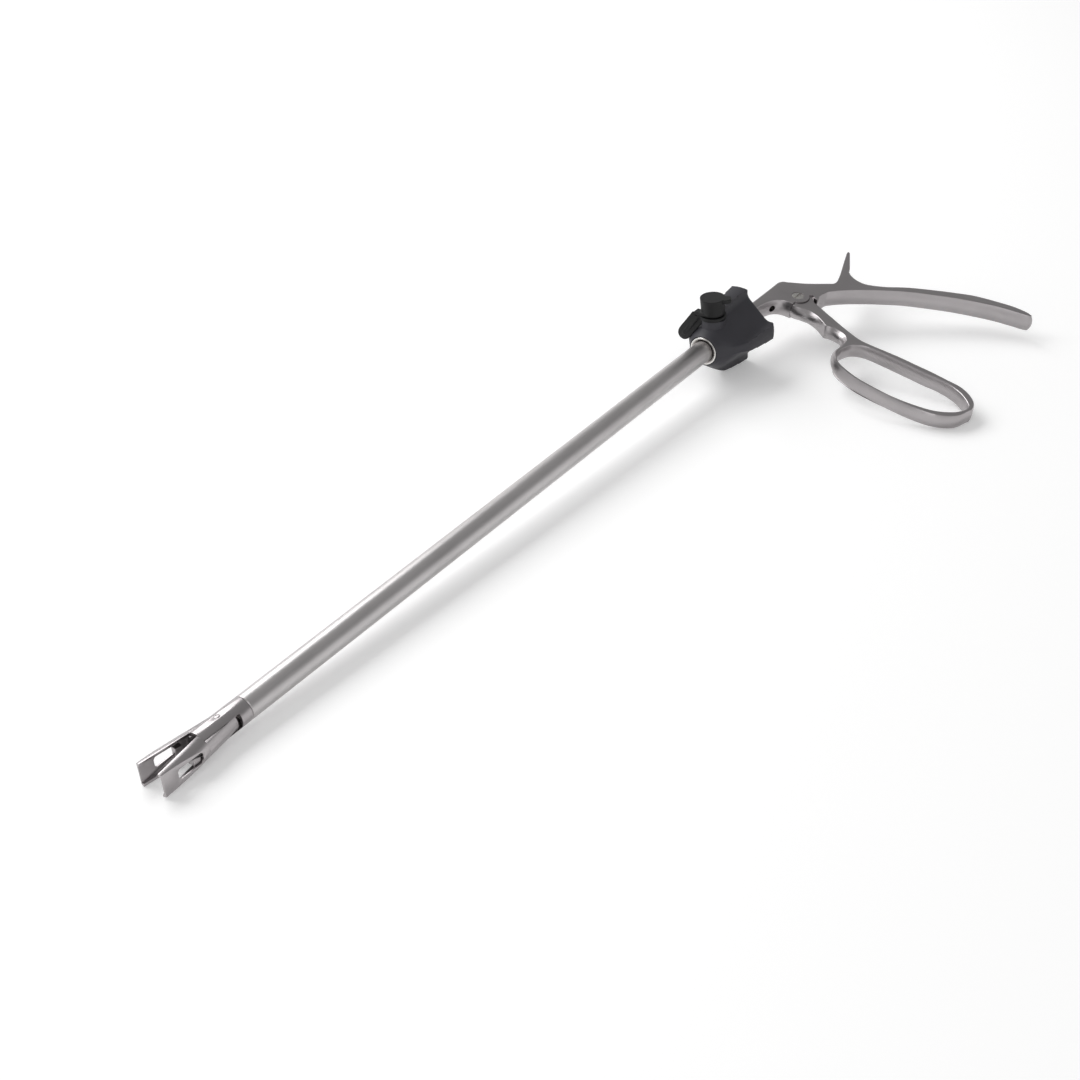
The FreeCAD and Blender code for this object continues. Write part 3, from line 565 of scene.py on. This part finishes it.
path = add_node(strap_tree, "GeometryNodeResampleCurve", {"Curve": given.outputs["Geometry"], "Count": 90})
section = add_node(strap_tree, "GeometryNodeCurvePrimitiveQuadrilateral",
                   {"Width": given.outputs["Thickness"], "Height": given.outputs["Width"]})
section_round = add_node(strap_tree, "GeometryNodeFilletCurve",
                         {"Curve": section.outputs[0], "Radius": 0.45, "Count": 4}, mode="POLY")
ribbon = add_node(strap_tree, "GeometryNodeCurveToMesh", {"Curve": path.outputs[0],
                                                          "Profile Curve": section_round.outputs[0],
                                                          "Fill Caps": True})
real = add_node(strap_tree, "GeometryNodeRealizeInstances", {"Geometry": ribbon.outputs[0]})
dressed = add_node(strap_tree, "GeometryNodeSetMaterial", {"Geometry": real.outputs[0],
                                                           "Material": given.outputs["Finish"]})
add_node(strap_tree, "NodeGroupOutput", {"Geometry": dressed.outputs[0]})


def path_curve(points):
    """A smooth open line through the given points, as a curve object."""
    line = bpy.data.curves.new("path", "CURVE")
    line.dimensions = "3D"
    line.twist_mode = "MINIMUM"
    spline = line.splines.new("NURBS")
    spline.points.add(len(points) - 1)
    for point, place in zip(spline.points, points):
        point.co = (*place, 1.0)
    spline.order_u = 3
    spline.use_endpoint_u = True
    spline.resolution_u = 12
    holder = bpy.data.objects.new("path", line)
    scene.collection.objects.link(holder)
    return holder


strap_holder = path_curve(strap_path)
weave = strap_holder.modifiers.new("strap", "NODES")
weave.node_group = strap_tree
for item in strap_tree.interface.items_tree:
    if item.in_out == "INPUT" and item.name == "Width":
        weave[item.identifier] = strap_width
    if item.in_out == "INPUT" and item.name == "Thickness":
        weave[item.identifier] = strap_thickness
    if item.in_out == "INPUT" and item.name == "Finish":
        weave[item.identifier] = cap_soft
ribbon_mesh = made_real(strap_holder)
bpy.data.objects.remove(strap_holder)
collar = disc(6.2, 13.5, 15.2, port_along)
strap_mesh = fused_soft([outward(ribbon_mesh), collar], skin_step, 4)
strap_mesh.transform(shaft)
strap_mesh.materials.clear()
strap_mesh.materials.append(cap_soft)
smooth(strap_mesh)
strap = bpy.data.objects.new("cap_strap", strap_mesh)
scene.collection.objects.link(strap)
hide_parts("cap_tether")
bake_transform(strap)

# Palm grip: forged in one piece with the neck, the cheeks round the pivot, the long palm bar and the spur.
# Its top is ground flat; the sides that the hand touches are crowned, and the whole is bead-blasted.
pivot_along = 69.5
pivot_reach = 11.4
hinge = joints["lever_squeeze"]
handle = lying(hinge["axis"], hinge["pos_m"], (pivot_along, -pivot_reach, 0))
plate_half = 4.3
cheek_radius = 5.6


def flowing(points, step=0.9):
    """A smooth line through the given places, sampled at about the given step."""
    places = [Vector(point) for point in points]
    if len(places) == 2:
        count = max(1, round((places[1] - places[0]).length / (3 * step)))
        return [places[0].lerp(places[1], number / count) for number in range(count)]
    sampled = []
    for number in range(len(places) - 1):
        one, two = places[number], places[number + 1]
        before = places[number - 1] if number else one * 2 - two
        after = places[number + 2] if number + 2 < len(places) else two * 2 - one
        gap = (two - one).length
        leave = ((two - before) * gap / ((one - before).length + gap))
        arrive = ((after - one) * gap / (gap + (after - two).length))
        count = max(2, round(gap / step))
        for part in range(count):
            t = part / count
            sampled.append((2 * t ** 3 - 3 * t ** 2 + 1) * one + (t ** 3 - 2 * t ** 2 + t) * leave
                           + (3 * t ** 2 - 2 * t ** 3) * two + (t ** 3 - t ** 2) * arrive)
    return sampled


def pivot_arc(radius, start, stop, count=18):
    """Places round the pivot, each angle measured from straight down the reach towards the palm."""
    places = []
    for number in range(count + 1):
        angle = radians(start + (stop - start) * number / count)
        places.append(Vector((pivot_along + radius * sin(angle), pivot_reach + radius * cos(angle))))
    return places


def share_of(values, number, count):
    """The value at a place along a side, from one value or from a row of them spread evenly along it."""
    if not isinstance(values, tuple):
        return values
    place = number / max(count - 1, 1) * (len(values) - 1)
    low = min(int(place), len(values) - 2)
    return values[low] + (values[low + 1] - values[low]) * (place - low)


def ring_of(sides):
    """One closed outline from its sides, each given as (places, crown, edge)."""
    places, crowns, edges = [], [], []
    for side, crown, edge in sides:
        for number, place in enumerate(side):
            if places and (place - places[-1]).length < 0.02:
                continue
            places.append(place)
            crowns.append(share_of(crown, number, len(side)))
            edges.append(share_of(edge, number, len(side)))
    if (places[0] - places[-1]).length < 0.02:
        places.pop()
        crowns.pop()
        edges.pop()
    return places, crowns, edges


def spread(values, places, reach):
    """The values averaged over their neighbours within the reach along a closed outline."""
    eased_values = []
    count = len(values)
    for number in range(count):
        total, weight = values[number], 1.0
        for way in (1, -1):
            walked, at = 0.0, number
            while True:
                following = (at + way) % count
                walked += (places[following] - places[at]).length
                if walked > reach or following == number:
                    break
                share = 1 - walked / reach
                total += share * values[following]
                weight += share
                at = following
        eased_values.append(total / weight)
    return eased_values


def crowned_plate(sides, half, reach=2.0, holes=()):
    """A plate in the handle's plane whose sides bulge by the crown and whose rims are rounded by the edge."""
    points, faces, tops, bottoms = [], [], [], []
    for loop in (sides, *holes):
        places, crowns, edges = ring_of(loop)
        area = sum(a.x * b.y - b.x * a.y for a, b in zip(places, places[1:] + places[:1]))
        inside = 1.0 if area > 0 else -1.0
        if loop is not sides:
            inside = -inside
        crowns = spread(crowns, places, reach)
        edges = spread(edges, places, reach)
        count = len(places)
        profiles = []
        for number in range(count):
            before = (places[number] - places[number - 1]).normalized()
            after = (places[(number + 1) % count] - places[number]).normalized()
            lean = before + after
            inward = Vector((-lean.y, lean.x)) * inside
            if inward.length < 1e-6:
                inward = Vector((-before.y, before.x)) * inside
            inward.normalize()
            crown, edge = crowns[number], edges[number]
            shoulder = half - edge
            profile = []
            for part in range(5):
                height = shoulder * part / 4
                profile.append((crown * (height / shoulder) ** 2, height))
            slope = 2 * crown / shoulder
            lead = edge * (1 + slope) * 0.9
            corner = (crown + edge * slope * 0.5, half)
            finish = (crown + lead, half)
            start = profile[-1]
            for part in range(1, 5):
                t = part / 4
                profile.append(tuple((1 - t) ** 2 * a + 2 * t * (1 - t) * b + t ** 2 * c
                                     for a, b, c in zip(start, corner, finish)))
            column = []
            for depth, height in reversed(profile):
                spot = places[number] + inward * depth
                column.append((spot.x, -spot.y, height))
            for depth, height in profile[1:]:
                spot = places[number] + inward * depth
                column.append((spot.x, -spot.y, -height))
            profiles.append(column)
        first = len(points)
        tall = len(profiles[0])
        for column in profiles:
            points += column
        for number in range(count):
            following = (number + 1) % count
            for level in range(tall - 1):
                faces.append((first + number * tall + level, first + following * tall + level,
                              first + following * tall + level + 1, first + number * tall + level + 1))
        tops.append([first + number * tall for number in range(count)])
        bottoms.append([first + number * tall + tall - 1 for number in range(count)])
    for loops in (tops, bottoms):
        if len(loops) == 1:
            faces.append(tuple(loops[0]))
            continue
        order = [number for loop in loops for number in loop]
        flat_loops = [[Vector((points[number][0], points[number][1], 0)) for number in loop]
                      for loop in loops]
        for a, b, c in tessellate_polygon(flat_loops):
            faces.append((order[a], order[b], order[c]))
    mesh = bpy.data.meshes.new("plate")
    mesh.from_pydata(points, [], faces)
    return outward(mesh)


def pivot_disc(radius, low, high):
    """A disc round the pivot's axis."""
    made = disc(radius, low, high, pivot_along)
    made.transform(Matrix.Translation((0, -pivot_reach, 0)))
    return made


def worked(mesh, cutters=(), additions=()):
    """The solid with further solids joined to it and then others cut from it."""
    holder = bpy.data.objects.new("blank", mesh)
    scene.collection.objects.link(holder)
    tools = []
    for operation, forms in (("UNION", additions), ("DIFFERENCE", cutters)):
        for form in forms:
            tool = bpy.data.objects.new("tool", form)
            scene.collection.objects.link(tool)
            tools.append(tool)
            step = holder.modifiers.new("step", "BOOLEAN")
            step.operation = operation
            step.solver = "EXACT"
            step.object = tool
    result = made_real(holder)
    for thing in (holder, *tools):
        bpy.data.objects.remove(thing)
    return result


seam = pivot_arc(cheek_radius, -72, 46, 30)
neck_top = -3.0
neck_low = 2.9
grip_sides = [
    (flowing([(36.4, neck_top), (69.0, neck_top)]), 0.6, 1.2),
    (flowing([(69.0, neck_top), (73.4, -2.5), (75.9, -0.9), (77.0, 1.6)], 0.5),
     (0.6, 0.4, 0.1), (1.2, 0.8, 0.4)),
    (flowing([(77.0, 1.6), (82.9, 9.5), (91.7, 18.6)]), 0.0, 0.35),
    (flowing([(91.7, 18.6), (93.0, 19.1), (94.7, 19.1), (96.4, 18.8)], 0.5), 0.0, 0.35),
    (flowing([(96.4, 18.8), (102.2, 17.0), (114.2, 12.6), (122.3, 9.7)]), 0.0, 0.35),
    (flowing([(122.3, 9.7), (124.1, 9.4), (124.5, 9.9), (123.7, 10.9)], 0.3), 0.0, 0.3),
    (flowing([(123.7, 10.9), (107.9, 19.5)]), 0.0, 0.35),
    (flowing([(107.9, 19.5), (105.8, 21.6), (103.8, 25.6), (103.4, 29.9), (104.7, 33.3), (108.4, 39.1),
              (115.8, 47.6), (122.0, 56.8), (127.7, 66.2), (132.9, 75.9), (136.1, 86.8), (137.8, 95.1),
              (138.0, 101.0)]), 0.35, 0.6),
    (flowing([(138.0, 101.0), (137.9, 104.0), (137.1, 106.1), (135.7, 106.8), (134.3, 105.6),
              (133.4, 102.6)], 0.5), (0.4, 1.2, 0.85), (0.6, 0.5, 0.35)),
    (flowing([(133.4, 102.6), (132.3, 97.1), (130.3, 89.1), (126.5, 79.0), (122.0, 69.1), (116.7, 59.6),
              (111.0, 50.2), (104.2, 41.5), (96.8, 33.2), (88.6, 25.4), (82.0, 20.6)]), 0.85, 0.35),
    (flowing([(82.0, 20.6), (77.0, 19.6), (72.3, 20.8)]), 0.0, 0.3),
    (flowing([(72.3, 20.8), (67.0, 24.0)]), 0.0, 0.2),
    (flowing([(67.0, 24.0), (60.2, 22.3)]), 0.0, 0.2),
    (flowing([(60.2, 22.3), (60.2, 18.0), (60.4, 13.5), (60.3, 10.3), (59.7, 8.2), (58.4, 6.4), (56.3, 5.2),
              (53.6, 4.3), (50.0, 3.5)]), 0.95, 0.35),
    (flowing([(50.0, 3.5), (45.5, neck_low), (36.4, neck_low)]), (0.95, 0.5, 0.5), (0.4, 1.0, 1.0)),
    (flowing([(36.4, neck_low), (36.4, neck_top)]), 0.0, 0.2),
]
grip = crowned_plate(grip_sides, plate_half)
journal = turned([(22.9, 0.4), (22.9, 3.9), (23.2, 4.3), (36.85, 4.3), (36.85, 0.4)], closed=True)
lock_room = [(64.9, 2.3), (71.8, 2.3), (72.2, -pivot_reach), (64.3, -pivot_reach)]
beyond_seam = seam + [Vector((75.0, 16.7)), Vector((72.3, 20.8)), Vector((70.0, 30.0)), Vector((50.0, 28.0)),
                      Vector((56.0, 12.9))]
lock_half = 2.35
through = 6.0
cuts = [raised(lock_room, -lock_half, lock_half), pivot_disc(cheek_radius + 0.15, -lock_half, lock_half),
        raised([(spot.x, -spot.y) for spot in beyond_seam], -through, through)]
screw_room = pivot_disc(3.05, 2.9, 5.0)
shank_room = pivot_disc(2.24, -5.0, 3.2)
rod_room = turned([(22.0, 2.0), (74.5, 2.0)], closed=False, segments=48)
slant = radians(34.0)
flush_hole = turned([(0.0, 1.7), (17.0, 1.7)], closed=False, segments=48)
flush_hole.transform(Matrix.Translation((60.0, 0, 0)) @ Matrix.Rotation(-(pi / 2 + slant), 4, "Z"))
palm = worked(grip, cuts + [screw_room, shank_room, flush_hole, rod_room], [journal])
keep(palm, "palm_grip_forged", blasted, "handle", ["palm_grip"], handle)

# Pivot screw: a flush countersunk screw with a plain slot, turned bright.
# It pins the lever between the cheeks.
pivot_screw = eased_copy("pivot_screw", 0.12)
keep(pivot_screw, "pivot_screw_turned", bright, "handle", ["pivot_screw"])

# Ring lever: forged with its finger ring, an arm whose front is round for the finger, and a tongue that runs
# between the cheeks and moves the rod. A small saddle under the arm gives the next finger its place.
lever_half = 3.6
lever_sides = [
    (flowing([(61.0, 10.0), (76.0, 10.0)]), 0.0, 0.2),
    (flowing([(76.0, 10.0), (76.0, 16.0), (71.5, 19.6)]), 0.0, 0.2),
    (flowing([(71.5, 19.6), (69.2, 24.9), (67.1, 29.5), (65.1, 34.1), (63.0, 38.7), (61.3, 42.9),
              (59.6, 47.3), (58.2, 51.4), (57.7, 56.0), (58.0, 66.0), (58.2, 74.0), (57.9, 82.0),
              (57.7, 90.0), (57.0, 98.0), (56.2, 105.8), (53.3, 111.8), (48.4, 116.5), (42.7, 118.3)]),
     0.3, 0.4),
    (flowing([(42.7, 118.3), (33.5, 115.4), (27.4, 108.1), (25.2, 99.3), (24.8, 89.2), (25.4, 78.5),
              (26.7, 67.6), (28.5, 61.2), (31.6, 54.1), (35.9, 49.3), (41.5, 46.6), (47.0, 46.6),
              (52.0, 46.0)]), (0.8, 1.0, 0.9, 0.9, 1.0, 1.6), 0.4),
    (flowing([(52.0, 46.0), (54.5, 43.4), (55.8, 39.9), (56.5, 36.5), (56.4, 34.6), (57.1, 33.3)], 0.6),
     (1.7, 2.0, 1.8, 1.2, 0.2), 0.3),
    (flowing([(57.1, 33.3), (58.2, 31.0), (59.8, 27.0), (60.4, 23.5), (60.1, 19.6), (60.3, 14.5),
              (61.0, 10.0)], 0.6), (0.2, 0.9, 1.5, 2.2, 2.0, 1.0, 1.0), 0.3),
]
inner_ring = flowing([(44.2, 49.9), (36.6, 51.9), (32.5, 56.0), (28.9, 66.2), (27.7, 77.1), (27.6, 87.4),
                      (28.7, 96.8), (31.2, 105.3), (36.6, 112.2), (43.0, 115.0), (48.0, 111.3),
                      (51.9, 105.1), (53.9, 96.4), (53.8, 88.8), (54.2, 78.2), (54.5, 67.4), (54.2, 57.6),
                      (51.0, 52.2), (44.2, 49.9)])
lever_plate = crowned_plate(lever_sides, lever_half, holes=[[(inner_ring, 0.6, 0.5)]])
lever_seam = cheek_radius + 0.25
cheek_room = pivot_disc(lever_seam, -through, through)
before_seam = [(56.0, -13.15), (pivot_along + 9.0, -13.15), (pivot_along + 9.0, -5.0), (56.0, -5.0)]
lever_plate = worked(lever_plate, [cheek_room, raised(before_seam, -through, through)])
tongue_half = 2.2
tongue = [pivot_disc(5.2, -tongue_half, tongue_half)]


def link(start, end, radius, low, high):
    """A straight link with round ends, between two places on the handle's plane."""
    start, end = Vector(start), Vector(end)
    run = (end - start).normalized()
    aside = Vector((-run.y, run.x))
    outline = []
    for middle, begin in ((end, -pi / 2), (start, pi / 2)):
        for number in range(17):
            angle = begin + pi * number / 16
            spot = middle + run * radius * cos(angle) + aside * radius * sin(angle)
            outline.append((spot.x, -spot.y))
    return raised(outline, low, high)


below = pivot_arc(2 * cheek_radius, -12, -12, 1)[0]
tongue.append(link((pivot_along, pivot_reach), (pivot_along, 0.0), 1.3, -tongue_half, tongue_half))
tongue.append(disc(1.8, -tongue_half, tongue_half, pivot_along))
tongue.append(link((pivot_along, pivot_reach), tuple(below), 1.8, -tongue_half, tongue_half))
pivot_hole = pivot_disc(2.25, -5.0, 5.0)
fork_room = raised([(60.0, 3.0), (80.0, 3.0), (80.0, -1.6), (60.0, -1.6)], -1.05, 1.05)
lever = worked(lever_plate, [pivot_hole, fork_room], tongue)
keep(lever, "finger_ring_lever", blasted, "lever", ["ring_lever"], handle)
